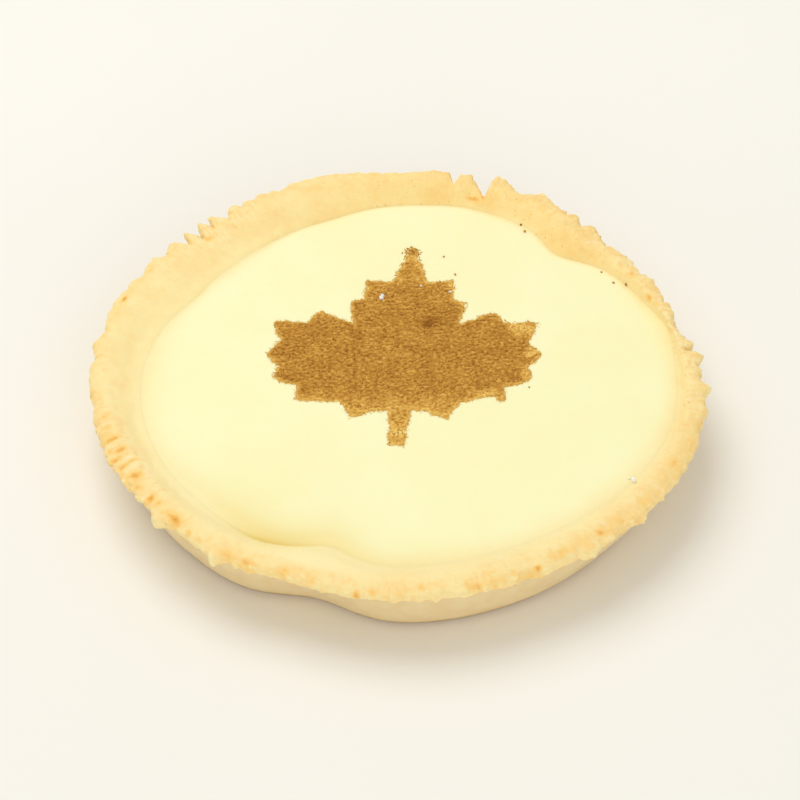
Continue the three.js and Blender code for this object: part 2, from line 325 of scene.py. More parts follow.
def spun(section, rows, steps):
    """A closed bmesh in millimetres, and each vertex's step and place along the section."""
    shape = bmesh.new()
    along_layer = shape.verts.layers.float.new("along")
    start = curve_through(np.repeat(section[:, :, :1], len(rows), axis=2), rows)
    row = []
    for (radius, height), along in zip(start, rows):
        vertex = shape.verts.new((max(radius, 0), 0, height))
        vertex[along_layer] = along
        row.append(vertex)
    edges = [shape.edges.new(pair) for pair in zip(row, row[1:])]
    bmesh.ops.spin(
        shape, geom=row + edges, cent=(0, 0, 0), axis=(0, 0, 1), angle=2 * np.pi, steps=steps,
        use_merge=True, use_duplicate=False,
    )
    bmesh.ops.remove_doubles(shape, verts=shape.verts, dist=1e-4)
    bmesh.ops.recalc_face_normals(shape, faces=shape.faces)
    places = np.array([vertex.co for vertex in shape.verts])
    step = np.rint(np.arctan2(places[:, 1], places[:, 0]) / (2 * np.pi) * steps).astype(int) % steps
    along = np.array([vertex[along_layer] for vertex in shape.verts])
    return shape, step, along


def set_places(shape, places):
    for vertex, place in zip(shape.verts, places.tolist()):
        vertex.co = place
    shape.normal_update()


def on_axis(radius, height, angle):
    """Points in millimetres from radii, heights and angles about the tart's axis."""
    turned = np.radians(angle)
    return np.stack(
        [AXIS[0] + radius * np.cos(turned), AXIS[1] + radius * np.sin(turned), height], axis=1
    )


def smooth_object(mesh):
    """Puts a mesh into the scene, smooth-shaded and under its own name."""
    mesh.shade_smooth()
    piece = bpy.data.objects.new(mesh.name, mesh)
    bpy.context.collection.objects.link(piece)
    print(mesh.name, "has", sum(len(face.vertices) - 2 for face in mesh.polygons), "triangles")
    return piece


def new_piece(name, shape):
    """Turns a bmesh in millimetres into an object in metres."""
    bmesh.ops.scale(shape, vec=(MM, MM, MM), verts=shape.verts)
    mesh = bpy.data.meshes.new(name)
    shape.to_mesh(mesh)
    shape.free()
    return smooth_object(mesh)


def paint(piece, **layers):
    """Stores numbers on the vertices, for a material to read."""
    for name, values in layers.items():
        layer = piece.data.attributes.new(name, "FLOAT", "POINT")
        layer.data.foreach_set("value", np.ascontiguousarray(values, dtype=np.float32))


case_rows = section_rows([2, 3, 3, 4, 7, 10, 12, 12, 9, 9, 8, 3, 4, 4, 4, 8, 4, 2])
case_shape, case_step, case_along = spun(sections, case_rows, STEPS)
case_angle = step_angles[case_step]
print("vertices after the spin:", len(case_shape.verts))

# %% [markdown]
# ## Where the pastry toasted
# An oven browns what stands proud: the thin lip first, in soft golden dabs, and hardly at all the wall
# that the tin shielded. At the front left the lip dried into short cracks, and those browned too. Each dab
# has an angle, an inset from the lip, a length across the rim, a width round it and a strength. Between
# the dabs the browning follows the crumb, so it comes from noise.

# %% Noise over many points
def speckle(points, size):
    """Smooth noise between about -1 and 1, with lumps of the given size."""
    return np.array([noise.noise(point) for point in (points / size).tolist()])


def relief(points, layers):
    """The sum of layers of smooth noise, each given as depth and size."""
    return sum(depth * speckle(points, size) for depth, size in layers)


def pebbles(points, size):
    """Rounded lumps: 1 in the middle of each and 0 between them."""
    return np.array([1 - noise.voronoi(point)[0][0] for point in (points / size).tolist()])


one_place = np.array([[1.0, 2.0, 3.0]])
print("noise at one place:", speckle(one_place, 0.8).round(2), "pebbles:", pebbles(one_place, 0.8).round(2))

# %% Dabs and cracks of the lip
CRACKS = [
    (193.6, 1.6, 0.8, 0.35, 0.3), (196.3, 1.6, 1.0, 0.4, 0.4), (199.6, 1.9, 1.5, 0.48, 0.95),
    (202.0, 0.6, 0.6, 0.4, 0.5), (203.0, 2.2, 1.2, 0.55, 0.9), (204.8, 0.8, 0.9, 0.4, 0.7),
    (207.0, 1.0, 1.0, 0.42, 0.75), (206.8, 3.0, 1.0, 0.45, 0.75), (134.8, 4.2, 0.5, 0.8, 0.8),
    (22.3, 2.7, 0.3, 0.8, 1.0), (19.6, 2.3, 0.3, 0.9, 0.6), (70.0, 4.2, 0.5, 0.35, 0.7),
    (72.3, 5.2, 0.3, 1.2, 0.8),
]
DABS = [
    (210.8, 2.0, 0.9, 0.85, 1.05), (209.6, 1.5, 0.6, 0.5, 0.5), (213.2, 1.0, 0.7, 1.2, 0.45),
    (217.2, 1.2, 0.5, 0.5, 0.65), (219.2, 1.3, 0.6, 0.6, 0.6), (223.9, 1.0, 0.7, 0.9, 0.9),
    (225.2, 0.8, 0.6, 0.8, 0.5), (228.4, 0.6, 0.4, 0.5, 0.75), (230.8, 0.5, 0.4, 0.6, 0.4),
    (237.2, 0.4, 0.6, 1.0, 0.5), (242.0, 0.6, 0.6, 1.6, 0.5), (248.9, 0.9, 0.7, 0.9, 0.5),
    (254.5, 0.6, 0.6, 0.6, 0.45), (263.3, 0.1, 0.4, 0.5, 0.85), (266.0, 0.5, 0.5, 0.8, 0.5),
    (275.3, 1.4, 0.6, 0.7, 0.4), (278.2, 1.5, 0.5, 0.6, 0.35), (285.6, 0.5, 0.6, 1.3, 0.6),
    (290.0, 0.5, 0.6, 1.2, 0.4), (296.0, 0.5, 0.5, 1.2, 0.4), (297.8, 0.5, 0.45, 0.6, 1.0),
    (303.6, 1.3, 0.7, 1.6, 0.35), (308.4, 1.2, 0.8, 1.2, 0.25), (312.4, 1.3, 0.6, 0.8, 0.9),
    (317.0, 1.4, 1.0, 2.0, 0.3), (323.6, 1.1, 0.8, 1.4, 0.4), (325.5, 3.1, 0.6, 0.6, 0.3),
    (331.0, 1.1, 0.8, 1.0, 0.35), (335.0, 1.5, 0.9, 1.4, 0.5), (341.0, 0.8, 0.7, 1.2, 0.35),
    (2.3, 1.9, 0.5, 0.5, 0.3), (29.9, 2.3, 0.4, 0.5, 1.2), (31.8, 3.5, 0.4, 0.6, 0.3),
    (38.2, 3.3, 0.4, 0.8, 0.35), (38.8, 4.9, 0.4, 0.8, 0.3), (57.0, 3.1, 0.6, 1.4, 0.4),
    (59.2, 4.9, 0.5, 1.0, 0.25), (64.0, 3.7, 0.5, 1.0, 0.3), (67.5, 4.1, 0.5, 1.2, 0.35),
    (71.6, 4.9, 0.6, 1.4, 0.65), (129.8, 3.1, 0.4, 0.6, 0.25), (149.6, 1.9, 0.4, 0.8, 0.3),
    (159.8, 1.5, 0.4, 0.7, 0.8),
]
TOASTED_ARCS = [
    (212, 13, 0.5), (240, 16, 0.35), (265, 14, 0.25), (290, 16, 0.35), (310, 14, 0.2), (335, 18, 0.22),
    (25, 16, 0.25), (60, 20, 0.2), (110, 12, 0.25), (140, 18, 0.25), (170, 20, 0.35), (193, 8, 0.3),
]
LIP_BAND = (1.5, 3.5)
DARKEST_TOAST = 1.4


def on_ring(angle, across):
    """Points on a ring of the rim's radius, so that noise can be stretched across it."""
    turned = np.radians(angle)
    return np.stack([RIM_RADIUS * np.cos(turned), RIM_RADIUS * np.sin(turned), across], axis=1)


def streaking(angle, radius):
    """Fine streaks across the rim, between about -1 and 1, as a trimming knife leaves them."""
    inset = rim_radius(angle) - radius
    broad, fine = on_ring(angle, 0.35 * inset), on_ring(angle, 0.6 * inset + 9)
    return 0.8 * speckle(broad, 0.6) + 0.5 * speckle(fine, 0.35)


def dabbed(angle, radius, dabs):
    """The sum of dabs or cracks at places on the rim."""
    inset = rim_radius(angle) - radius
    total = np.zeros_like(angle)
    for at, from_lip, length, width, strength in dabs:
        round_rim = np.radians(turn(angle, at)) * radius / width
        total += strength * np.exp(-(round_rim**2) - ((inset - from_lip) / length) ** 2)
    return total


def toasting(angle, radius, along, places):
    """How far the oven browned each place, from 0 to 1 and a little over."""
    inset = rim_radius(angle) - radius
    crumb = speckle(places, 0.5)
    toast = dabbed(angle, radius, DABS) * (0.85 + 0.4 * speckle(places, 0.9) + 0.35 * crumb)
    toast += dabbed(angle, radius, CRACKS) * (0.95 + 0.2 * crumb)
    lumps = speckle(places + 40, 1.8) + 0.3 * crumb + 0.7 * streaking(angle, radius)
    patches = 0.3 + 0.8 * ease(lumps, -0.2, 0.8)
    toast += humps(angle, TOASTED_ARCS) * patches * (1 - ease(inset, *LIP_BAND))
    toast *= ease(along, EDGE + 0.05, EDGE + 0.4) * (1 - ease(along, LIP_BOTTOM - 0.6, LIP_BOTTOM + 0.4))
    return np.clip(toast, 0, DARKEST_TOAST)


print("dabs and cracks:", len(DABS) + len(CRACKS))

# %% [markdown]
# ## The crumb of the pastry
# Shortcrust is smooth where a thumb pressed it and crumbly where a knife trimmed it, most of all on the
# right and among the teeth. Displacing the mesh itself keeps this relief in the exported model, where a
# bump map alone would vanish from the outline. Noise in two sizes makes the crumbs, noise that is drawn
# out towards the middle makes the scratches that the trimming left, and rounded lumps make the lip's knobs.

# %% Place the case and roughen it
CRUMBLY_PLACES = [(30, 40, 0.8), (133, 14, 0.5), (205, 16, 0.5), (310, 30, 0.3)]
LEAST_CRUMBLY = 0.7
TRIMMED_RELIEF = [(0.13, 1.6), (0.09, 0.6)]
PRESSED_RELIEF = [(0.16, 4.5), (0.07, 1.2)]
WALL_RELIEF = [(0.12, 6.0), (0.06, 1.3)]
STREAK_DEPTH, CRACK_DEPTH = 0.13, 0.35
KNOB_SIZE, KNOB_RISE, KNOB_SINK = 1.1, 0.4, 0.2
case_points = curve_through(sections[:, :, case_step], case_along)
case_radius, case_height = case_points[:, 0], np.maximum(case_points[:, 1], 0)
smooth_case = on_axis(case_radius, case_height, case_angle)
set_places(case_shape, smooth_case)

rough = ease(case_along, CREST - 0.6, CREST + 0.9) * (1 - ease(case_along, LIP_BOTTOM + 0.5, WALL_TOP))
under = ease(case_along, LIP_BOTTOM + 0.5, WALL_TOP)
pressed = ease(case_along, EDGE + 0.1, EDGE + 1) * (1 - rough) * (1 - under)
wall = under * (1 - ease(case_along, FOOT - 0.2, FOOT + 0.6))
crumbly = LEAST_CRUMBLY + humps(case_angle, CRUMBLY_PLACES)
streaks = streaking(case_angle, case_radius)
crumbs = relief(smooth_case, TRIMMED_RELIEF) + STREAK_DEPTH * streaks
crumbs = crumbly * crumbs - CRACK_DEPTH * dabbed(case_angle, case_radius, CRACKS)
fringe = ease(case_along, LIP_TOP - 0.4, LIP_TOP + 0.3)
fringe *= 1 - ease(case_along, LIP_BOTTOM, LIP_BOTTOM + 0.8)
knobs = fringe * pebbles(smooth_case, KNOB_SIZE)
swell = rough * crumbs + crumbly * (KNOB_RISE * knobs - KNOB_SINK * fringe)
swell += pressed * relief(smooth_case, PRESSED_RELIEF) * (0.6 + 0.5 * crumbly)
swell += wall * relief(smooth_case, WALL_RELIEF)
normals = np.array([vertex.normal for vertex in case_shape.verts])
set_places(case_shape, smooth_case + swell[:, None] * normals)
pastry_crust = new_piece("pastry_crust", case_shape)

# %% [markdown]
# ## Where pastry and custard meet
# Custard thins out over the pastry, so there the two colours mix over a few millimetres on both sides of
# the edge. The light is soft, yet the crease beside the front fold lies in deep shade, so a deep yellow
# painted shade lies along the edge there, with faint painted shades along the front and the back left.
# Each has an angle, a spread, a depth inside the edge, how fast it fades outwards and inwards, and a
# strength. Both pieces are painted alike, so that no line shows.

# %% Paint the case
# Painted shade along the custard's edge: deepest in the crease beside the front fold, faint elsewhere.
PAINTED_SHADES = [
    (243, 5, -0.1, 0.4, 0.5, 0.7), (242, 9, -0.2, 0.9, 3.0, 0.35), (258, 12, 0.2, 0.9, 2.2, 0.25),
    (275, 12, 0.2, 1.0, 2.2, 0.15), (233, 18, 2.0, 2.5, 6.0, 0.24), (254, 12, 2.5, 2.0, 6.0, 0.16),
    (145, 24, -0.2, 1.5, 0.5, 0.16),
]
WARM_PLACES = [
    (15, 45, 0.7), (48, 10, 0.3), (60, 9, 0.2), (78, 28, 0.8), (94, 14, 0.35), (130, 28, 0.2),
    (310, 30, 0.15), (345, 18, 0.4),
]
PALE_PLACES = [(252, 13, 1.0), (225, 12, 0.4), (150, 14, 0.25)]


def pastry_share(angle, radius, places):
    """How far the pastry's colour shows, from 0 on thick custard to 1 on bare pastry."""
    wobble = 0.25 * speckle(places * (1, 1, 0), 1.8) * softness(angle)
    depth, width = custard_edge(angle) - radius + wobble, thinning(angle)
    return 1 / (1 + np.exp(np.clip(2 * depth / width - 1.2, -30, 30)))


def paleness(angle, radius):
    """How pale the pastry stayed, most of all where it meets the custard smoothly."""
    inset, depth = rim_radius(angle) - radius, custard_edge(angle) - radius
    beside = 0.6 * softness(angle) ** 2 * np.exp(-((depth / 3) ** 2))
    return np.clip(humps(angle, PALE_PLACES) * ease(inset, *LIP_BAND) + beside, 0, 1)


def painted_shading(angle, radius):
    """How strongly the painted shade darkens a place beside the custard's edge, towards a deep yellow."""
    depth = custard_edge(angle) - radius
    total = np.zeros_like(angle)
    for at, spread, middle, outwards, inwards, strength in PAINTED_SHADES:
        fading = np.where(depth < middle, (middle - depth) / outwards, (depth - middle) / inwards)
        total += strength * hump(angle, at, spread) * np.exp(-fading)
    return total


toast = toasting(case_angle, case_radius, case_along, smooth_case)
shows = ease(case_along, EDGE - 1, EDGE) * (1 - ease(case_along, CREST, CREST + 1))
near_lip = ease(case_along, EDGE + 0.5, CREST) * (1 - under)
knob_tops = ease(knobs, 0.5, 0.8)
flake_tips = ease(case_radius - rim_radius(case_angle), 0.35, 1.0) * (1 - under)
browned = (1 - 0.65 * knob_tops) * (1 - 0.8 * flake_tips)
pale = paleness(case_angle, case_radius) + 0.5 * knob_tops + 0.7 * flake_tips
bare = ease(case_along, CREST - 0.5, CREST)
paint(
    # tin_side marks the wall, which gets a darker beige that is partly painted shade
    pastry_crust, toast=toast * browned, crumb=rough, tin_side=wall,
    thin=np.maximum(pastry_share(case_angle, case_radius, smooth_case), bare),
    streak=streaks * near_lip * np.clip(0.75 * crumbly - 0.3, 0, 1),
    # base_edge: a brown line at the foot, partly browned crust and partly a painted contact shadow
    base_edge=ease(case_along, FOOT - 0.15, FOOT + 0.3),
    # shade: the painted shade beside the custard's edge, as far as the crest
    shade=painted_shading(case_angle, case_radius) * shows,
    warm=np.clip(humps(case_angle, WARM_PLACES), 0, 1) * browned,
    pale=np.clip(pale, 0, 1) * (1 - under),
)
print("toasted share of the rim:", round(float((toast > 0.4).mean()), 3))

# %% [markdown]
# ## Materials as sums
# A node tree is easier to read as arithmetic. This small class wraps a socket, so that a line such as
# 1 - mask adds the Math node by itself, and every other node comes from one method that takes its
# settings first and then its inputs.

# %% A wrapped socket and a finish
class Wire:
    """A socket of a material's node tree, used like a number."""

    def __init__(self, tree, socket=None):
        self.tree, self.socket = tree, socket

    def node(self, kind, settings=None, inputs=None, output=0):
        made = self.tree.nodes.new(kind)
        for name, value in (settings or {}).items():
            setattr(made, name, value)
        for name, value in (inputs or {}).items():
            if isinstance(value, Wire):
                self.tree.links.new(value.socket, made.inputs[name])
            else:
                made.inputs[name].default_value = value
        return Wire(self.tree, made.outputs[output])

    def math(self, operation, first, second):
        return self.node("ShaderNodeMath", {"operation": operation}, {0: first, 1: second})

    def __add__(self, other):
        return self.math("ADD", self, other)

    def __sub__(self, other):
        return self.math("SUBTRACT", self, other)

    def __rsub__(self, other):
        return self.math("SUBTRACT", other, self)

    def __mul__(self, other):
        return self.math("MULTIPLY", self, other)

    __radd__, __rmul__ = __add__, __mul__

    def ramp(self, low, high):
        """0 below low, 1 above high."""
        settings = {"interpolation_type": "SMOOTHSTEP"}
        return self.node("ShaderNodeMapRange", settings, {"Value": self, "From Min": low, "From Max": high})

    def mix(self, first, second):
        """A colour that goes from the first to the second as this number goes from 0 to 1."""
        return self.node("ShaderNodeMix", {"data_type": "RGBA"}, {0: self, 6: first, 7: second}, 2)

    def grain(self, size, detail=3.0, roughness=0.55):
        """Noise with lumps of a size in millimetres, on the object's own coordinates."""
        place = self.node("ShaderNodeTexCoord", output="Object")
        inputs = {"Vector": place, "Scale": 1 / (size * MM), "Detail": detail, "Roughness": roughness}
        return self.node("ShaderNodeTexNoise", inputs=inputs, output="Fac")

    def painted(self, name):
        """A number stored on the vertices."""
        return self.node("ShaderNodeAttribute", {"attribute_name": name}, output="Fac")

    def bump(self, height, distance):
        return self.node("ShaderNodeBump", inputs={"Height": height, "Distance": distance * MM})


def colour(red, green, blue):
    """A linear colour from the 0 to 255 codes of a colour picker."""
    codes = np.array([red, green, blue]) / 255
    linear = np.where(codes <= 0.04045, codes / 12.92, ((codes + 0.055) / 1.055) ** 2.4)
    return (*linear.tolist(), 1.0)


def new_finish(name):
    """An empty material with its shader, and a wire to build on."""
    material = bpy.data.materials.new(name)
    material.use_nodes = True
    shader = material.node_tree.nodes["Principled BSDF"]
    return material, shader, Wire(material.node_tree)


def feed(shader, **sockets):
    """Links wires to a shader's sockets, and sets plain values on them."""
    for name, value in sockets.items():
        socket = shader.inputs[name.replace("_", " ")]
        if isinstance(value, Wire):
            value.tree.links.new(value.socket, socket)
        else:
            socket.default_value = value


print("a pale custard in linear colour:", [round(v, 2) for v in colour(252, 249, 194)])

# %% [markdown]
# ## The finish of the pastry
# Pale shortcrust is cream with peach clouds in it, warmer where the oven was hotter. The dabs go from
# pale to deep gold, and a fine grain breaks the light up. The wall is a greyer, darker beige, partly its
# own colour and partly painted shade, and at its foot a brown line is partly browning and partly a
# painted contact shadow. The custard thins out over the pastry, so both finishes start from the same mix
# of the two, and both let light in equally far.

# %% Colours that the pastry and the custard share
CREAM, PEACH = colour(253, 231, 166), colour(252, 217, 144)
WARM_CREAM, WARM_PEACH = colour(252, 223, 148), colour(250, 208, 126)
PALE_CREAM = colour(254, 237, 177)
MILK, YOLK_MILK = colour(249, 245, 193), colour(248, 243, 186)
# The deep yellow of the painted shade along the custard's edge.
PAINTED_SHADE = colour(230, 197, 66)


def pastry_and_custard(wire):
    """Pastry cream or milky custard, mixed where the custard is thin."""
    clouds = wire.grain(7.0).ramp(0.36, 0.68) * 0.6 + wire.grain(1.9, 2.0).ramp(0.4, 0.7) * 0.35
    cream, warm_cream = clouds.mix(CREAM, PEACH), clouds.mix(WARM_CREAM, WARM_PEACH)
    cream = wire.painted("pale").mix(wire.painted("warm").mix(cream, warm_cream), PALE_CREAM)
    milky = wire.grain(16.0, 2.0).ramp(0.35, 0.65).mix(MILK, YOLK_MILK)
    return wire.painted("thin").mix(milky, cream)


SUBSURFACE = {
    "Subsurface_Weight": 0.15,
    "Subsurface_Radius": (1.0, 0.75, 0.4),
    "Subsurface_Scale": 1.5 * MM,
}
print("light reaches", SUBSURFACE["Subsurface_Scale"] / MM, "mm into pastry and custard")

# %% Pastry material
# The wall's beige is partly its own colour and partly painted shade; the foot's brown is partly a painted
# contact shadow.
BEIGE, DARK_BEIGE, FOOT_BROWN_AND_SHADOW = colour(232, 211, 164), colour(229, 203, 156), colour(176, 136, 84)
DARK_STREAK, LIGHT_STREAK = colour(246, 201, 128), colour(255, 234, 182)
LIGHT_CRUMB, BROWN_SPECK = colour(255, 234, 178), colour(214, 160, 96)
PALE_GOLD, GOLD, DEEP_GOLD = colour(253, 211, 128), colour(243, 184, 86), colour(206, 146, 62)
pastry, pastry_shader, wire = new_finish("pale_shortcrust")
toasted, crumb, tin_side = (wire.painted(name) for name in ("toast", "crumb", "tin_side"))
# The wall's darker, greyer beige: partly the crust's own colour and partly painted shade.
beige = wire.grain(3.0, 2.0).ramp(0.4, 0.65).mix(BEIGE, DARK_BEIGE)
cream = (tin_side * 0.85).mix(pastry_and_custard(wire), beige)
# A brown line at the foot: partly browned crust and partly a painted contact shadow.
cream = (wire.painted("base_edge") * 0.7).mix(cream, FOOT_BROWN_AND_SHADOW)
streak = wire.painted("streak")
cream = (streak.ramp(0.0, 0.4) * 0.65).mix(cream, DARK_STREAK)
cream = ((0 - streak).ramp(0.0, 0.4) * 0.6).mix(cream, LIGHT_STREAK)
freckles = wire.grain(0.8, 2.0).ramp(0.52, 0.7) * crumb * 0.3
cream = freckles.mix(cream, LIGHT_CRUMB)
specks = wire.grain(0.5, 1.0).ramp(0.68, 0.76) * wire.painted("warm") * wire.painted("thin") * 0.6
cream = specks.mix(cream, BROWN_SPECK)
browning = toasted + (wire.grain(0.4, 2.0) - 0.5) * toasted * 0.5
golden = browning.ramp(0.02, 0.55).mix(cream, PALE_GOLD)
golden = browning.ramp(0.45, 0.95).mix(golden, GOLD)
golden = browning.ramp(0.95, DARKEST_TOAST).mix(golden, DEEP_GOLD)
feed(
    pastry_shader,
    # The base colour darkens towards the deep yellow of the painted shade beside the custard's edge.
    Base_Color=wire.painted("shade").mix(golden, PAINTED_SHADE),
    Roughness=0.78 + wire.grain(1.0) * 0.1,
    Normal=wire.bump(wire.grain(0.3, 4.0, 0.7) + wire.grain(1.2, 2.0) * 0.8, 0.07),
    **SUBSURFACE,
)
pastry_crust.data.materials.append(pastry)
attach(pastry_crust, "root")
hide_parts("pastry_case")
print("nodes in the pastry finish:", len(pastry.node_tree.nodes))

# %% [markdown]
# ## The custard
# Set milk custard is nearly flat, with a soft shoulder where it sank as it cooled. It is spun like the
# case, from fewer points. Its outer ring reaches a little into the pastry, because a gap there would show
# as a dark line that the real tart doesn't have. Towards its edge it thins out, so the pastry's colour
# comes through more and more.

# %% The custard's shape
CUSTARD_STEPS = 430
REACH_INTO_PASTRY, SINK_INTO_FLOOR = 0.9, 0.2
SHOULDER_FROM, SHOULDER_BEND, SHOULDER_SAG = 6.0, 2.2, 0.02
RING_DROPS, SOFT_RING_RISE = (0.18, 0.5), 0.13
SIDE_INSET, SIDE_DROP = 1.0, 3.0
CUSTARD_EDGE = 4
CUSTARD_RELIEF = [(0.05, 14.0), (0.012, 3.0)]


def custard_section(angle):
    """Points from the middle of the top out to the edge and back under to the middle of the floor."""
    edge, level, soft = custard_edge(angle), custard_edge_level(angle), softness(angle)
    zero = np.zeros_like(angle)
    bottom = FLOOR_THICKNESS - SINK_INTO_FLOOR
    return np.array([
        (zero, zero + CUSTARD_LEVEL),
        (edge * 0.5, zero + CUSTARD_LEVEL),
        (edge - SHOULDER_FROM, zero + CUSTARD_LEVEL - SHOULDER_SAG),
        (edge - SHOULDER_BEND, 0.7 * CUSTARD_LEVEL + 0.3 * level),
        (edge, level),
        (edge + REACH_INTO_PASTRY / 2, level - RING_DROPS[0] + SOFT_RING_RISE * soft),
        (edge + REACH_INTO_PASTRY, level - RING_DROPS[1]),
        (edge - SIDE_INSET, level - SIDE_DROP),
        (edge - SHOULDER_FROM, zero + bottom),
        (zero, zero + bottom),
    ])


custard_angles = np.arange(CUSTARD_STEPS) * 360 / CUSTARD_STEPS
custard_sections = custard_section(custard_angles)
custard_rows = section_rows([14, 12, 14, 14, 3, 3, 2, 2, 2])
custard_shape, custard_step, custard_along = spun(custard_sections, custard_rows, CUSTARD_STEPS)
custard_angle = custard_angles[custard_step]
custard_points = curve_through(custard_sections[:, :, custard_step], custard_along)
custard_places = on_axis(custard_points[:, 0], custard_points[:, 1], custard_angle)
level_custard = custard_places.copy()
on_top = 1 - ease(custard_along, CUSTARD_EDGE - 0.4, CUSTARD_EDGE + 0.2)
custard_places[:, 2] += on_top * relief(level_custard, CUSTARD_RELIEF)
set_places(custard_shape, custard_places)
custard_filling = new_piece("custard_filling", custard_shape)

# %% Paint the custard
paint(
    # shade: the same painted shade beside the edge as on the pastry
    custard_filling, shade=painted_shading(custard_angle, custard_points[:, 0]),
    thin=pastry_share(custard_angle, custard_points[:, 0], level_custard),
    warm=np.clip(humps(custard_angle, WARM_PLACES), 0, 1),
    pale=paleness(custard_angle, custard_points[:, 0]),
)
widths = thinning(step_angles)
print("the custard thins out over", widths.min().round(2), "to", widths.max().round(2), "mm")

# %% Custard material
custard, custard_shader, wire = new_finish("set_milk_custard")
feed(
    custard_shader,
    # The base colour darkens towards the deep yellow of the painted shade beside the edge.
    Base_Color=wire.painted("shade").mix(pastry_and_custard(wire), PAINTED_SHADE),
    Roughness=0.46 + wire.grain(3.0) * 0.1 + wire.painted("thin") * 0.3,
    Normal=wire.bump(wire.grain(0.5, 2.0) * 0.25 + wire.grain(5.0), 0.05),
    **SUBSURFACE,
)
custard_filling.data.materials.append(custard)
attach(custard_filling, "root")
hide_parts("milk_custard")
print("nodes in the custard finish:", len(custard.node_tree.nodes))

# %% [markdown]
# ## The cinnamon leaf
# Cinnamon that falls through a stencil makes a thin ridged layer, ragged at its edge, with only a golden
# film where little fell. A grid over the leaf is cut to the solid's outline with a little noise, thickened,
# and raised into ridges. The outline comes from the leaf's own solid, by asking how far its side is away.

# %% How deep inside the leaf a point lies
leaf_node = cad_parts["cinnamon_leaf"]
leaf_low, leaf_high = [np.array(corner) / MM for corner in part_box("cinnamon_leaf")]
leaf_mesh = bmesh.new()
leaf_mesh.from_mesh(leaf_node.data)
bmesh.ops.remove_doubles(leaf_mesh, verts=leaf_mesh.verts, dist=1e-6)
bmesh.ops.scale(leaf_mesh, vec=(1 / MM, 1 / MM, 1 / MM), verts=leaf_mesh.verts)
leaf_solid = BVHTree.FromBMesh(leaf_mesh)
flat_faces = [face for face in leaf_mesh.faces if abs(face.normal.z) > 0.5]
bmesh.ops.delete(leaf_mesh, geom=flat_faces, context="FACES")
leaf_sides = BVHTree.FromBMesh(leaf_mesh)
leaf_mesh.free()
LEAF_MIDDLE = float(leaf_low[2] + leaf_high[2]) / 2
ABOVE_LEAF = Vector((0, 0, 5.0))
LEAF_FOOT = AXIS + (0.5, -16)
LEAF_LEAN = np.radians(3.3)
SPREAD_PLACES = [
    (0.2, 46, 0.9, 0.9), (1.8, 43, 1.2, 0.7), (-1.3, 44.6, 0.8, 0.4), (11.7, 31.9, 0.5, 0.9),
    (21.9, 25, 1.1, -1.1), (12.6, 10.9, 1, -0.8), (14, 11.3, 1.1, -1.5), (15.2, 11.8, 0.7, -1.2),
    (14.6, 33, 1.2, -0.5),
]


def on_leaf(across, along):
    """A place in the frame from one across and along the leaf, from the stalk's foot."""
    side, up = np.cos(LEAF_LEAN), np.sin(LEAF_LEAN)
    return LEAF_FOOT + (across * side + along * up, along * side - across * up)


def blot(x, y, spot_x, spot_y, size):
    """A round spot: 1 in its middle, fading outwards."""
    return np.exp(-((x - spot_x) ** 2 + (y - spot_y) ** 2) / size**2)


spread_spots = [(*on_leaf(across, along), size, reach) for across, along, size, reach in SPREAD_PLACES]


def depth_inside(x, y):
    """Millimetres to the leaf's outline, negative outside, with the powder that spread or is missing."""
    point = Vector((x, y, LEAF_MIDDLE))
    inside = leaf_solid.ray_cast(point + ABOVE_LEAF, -ABOVE_LEAF)[0] is not None
    depth = leaf_sides.find_nearest(point)[3] * (1 if inside else -1)
    for *spot, reach in spread_spots:
        depth += reach * blot(x, y, *spot)
    return depth


print("depth at the leaf's middle:", round(depth_inside(1.0, 4.0), 1), "mm")

# %% Where little powder fell
THIN_PLACES = [
    (-0.9, 44.2, 0.6, 0.7), (0.3, 44.4, 0.5, 0.6), (1.2, 44, 0.6, 0.7), (-1.6, 42.6, 0.6, 0.6),
    (0.9, 42.6, 0.5, 0.5), (17.9, 28.5, 0.9, 0.97), (19.2, 28.1, 0.8, 0.95), (20.3, 27.9, 0.9, 0.97),
    (18.6, 26.8, 0.7, 0.5), (21.2, 23.6, 0.8, 0.8), (20.6, 22.2, 0.7, 0.8), (21.8, 22.6, 0.5, 0.6),
    (20.2, 17.6, 0.8, 0.7), (21.7, 16.6, 1, 0.6), (13.4, 12.4, 0.7, 0.9), (14.8, 13.1, 0.7, 0.9),
    (-0.6, 2.5, 0.6, 0.95), (0.2, 3.1, 0.6, 0.95), (0.9, 3, 0.5, 0.8), (7.4, 38.4, 1, 0.5),
    (9.6, 33.6, 1, 0.5),
]
EDGE_WOBBLES = [(0.3, 1.7, 3.0), (0.2, 0.7, 9.0)]
EDGE_OUTSIDE, EDGE_WIDTH = 0.2, 0.7
thin_spots = [(*on_leaf(across, along), size, share) for across, along, size, share in THIN_PLACES]


def dusting(x, y):
    """The share of powder that fell at a place: 1, and less at the thin places."""
    share = 1.0
    for *spot, missing in thin_spots:
        share = share * (1 - missing * blot(x, y, *spot))
    return share


def cover(x, y, film=0):
    """The share of the custard that powder hides at a place, before chance. A film stays in thin places."""
    wobble = sum(reach * noise.noise((x / size, y / size, layer)) for reach, size, layer in EDGE_WOBBLES)
    within = min(max((depth_inside(x, y) + wobble + EDGE_OUTSIDE) / EDGE_WIDTH, 0), 1)
    return within * (film + (1 - film) * dusting(x, y))


print("cover at the tip:", round(cover(*on_leaf(0.1, 44.2)), 2), "and in the middle:", round(cover(1, 4), 2))

# %% The layer of powder
CELL, GRID_MARGIN = 0.17, 2.0
POWDER_BED, POWDER_DEPTH, LEAST_POWDER, POWDER_SINK = 0.05, 0.2, 0.02, 0.15
FILM = 0.5
MOUND, PIT = (6.2, 12.5), (4.9, 10.9)
MOUND_HEIGHT, PIT_DEPTH = 0.3, 0.25


